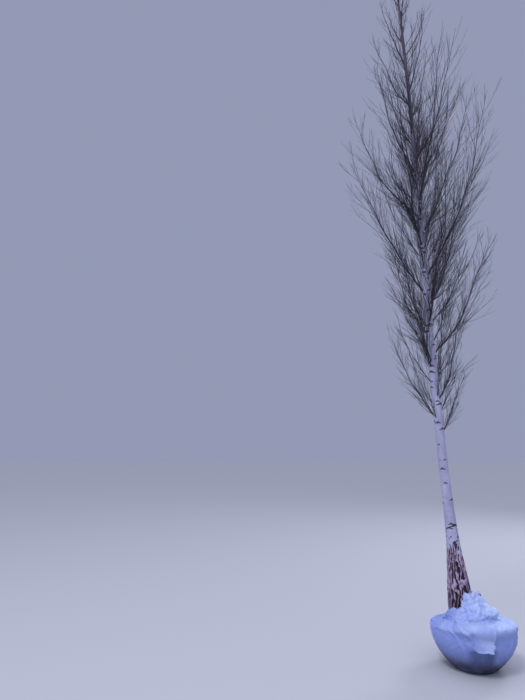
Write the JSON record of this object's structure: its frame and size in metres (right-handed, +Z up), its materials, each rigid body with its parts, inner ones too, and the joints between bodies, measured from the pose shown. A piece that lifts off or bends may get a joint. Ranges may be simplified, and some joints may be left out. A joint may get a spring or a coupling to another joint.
{
  "type": "bare birch tree with its root ball wrapped in a woven sack",
  "caption": "Young leafless birch with a slim upright plume of fine twigs, a white leaning trunk and a root ball wrapped in a white woven sack that it stands on.",
  "frame": {"origin": "on the flat underside of the wrapped root ball, 30 mm from its middle, on the ground", "axes": "+Z up, -X the side that the trunk leans to, -Y the side that the picture was taken from"},
  "size_m": [1.2392, 1.3213, 6.1519],
  "materials": {
    "white_bark": "smooth white birch bark with dark lenticels above, furrowed and dark below",
    "bough_bark": "smooth dark purple-brown young bark",
    "twig_bark": "thin dark purple-brown shoots",
    "woven_cloth": "white woven plastic sacking with a slight sheen",
    "soil": "dark damp crumbly earth"
  },
  "bodies": {
    "root": {"soil_ball": "soil", "sack": "woven_cloth", "trunk": "white_bark", "bough_01": "bough_bark", "bough_02": "bough_bark", "bough_03": "bough_bark", "bough_04": "bough_bark", "bough_05": "bough_bark", "bough_06": "bough_bark", "bough_07": "bough_bark", "bough_08": "bough_bark", "bough_09": "bough_bark", "bough_10": "bough_bark", "bough_11": "bough_bark", "bough_12": "bough_bark", "bough_13": "bough_bark", "bough_14": "bough_bark", "bough_15": "bough_bark", "bough_16": "bough_bark", "bough_17": "bough_bark", "bough_18": "bough_bark", "bough_19": "bough_bark", "bough_20": "bough_bark", "twigs_01": "twig_bark", "twigs_02": "twig_bark", "twigs_03": "twig_bark", "twigs_04": "twig_bark", "twigs_05": "twig_bark", "twigs_06": "twig_bark", "twigs_07": "twig_bark", "twigs_08": "twig_bark", "twigs_09": "twig_bark", "twigs_10": "twig_bark", "twigs_11": "twig_bark", "twigs_12": "twig_bark", "twigs_13": "twig_bark", "twigs_14": "twig_bark", "twigs_15": "twig_bark", "twigs_16": "twig_bark", "twigs_17": "twig_bark", "twigs_18": "twig_bark", "twigs_19": "twig_bark", "twigs_20": "twig_bark", "upper_twigs_01": "twig_bark", "upper_twigs_02": "twig_bark", "upper_twigs_03": "twig_bark", "upper_twigs_04": "twig_bark", "upper_twigs_05": "twig_bark", "upper_twigs_06": "twig_bark", "upper_twigs_07": "twig_bark", "upper_twigs_08": "twig_bark", "upper_twigs_09": "twig_bark", "upper_twigs_10": "twig_bark", "upper_twigs_11": "twig_bark", "upper_twigs_12": "twig_bark", "upper_twigs_13": "twig_bark", "upper_twigs_14": "twig_bark", "leader_twigs": "twig_bark"}
  },
  "joints": []
}
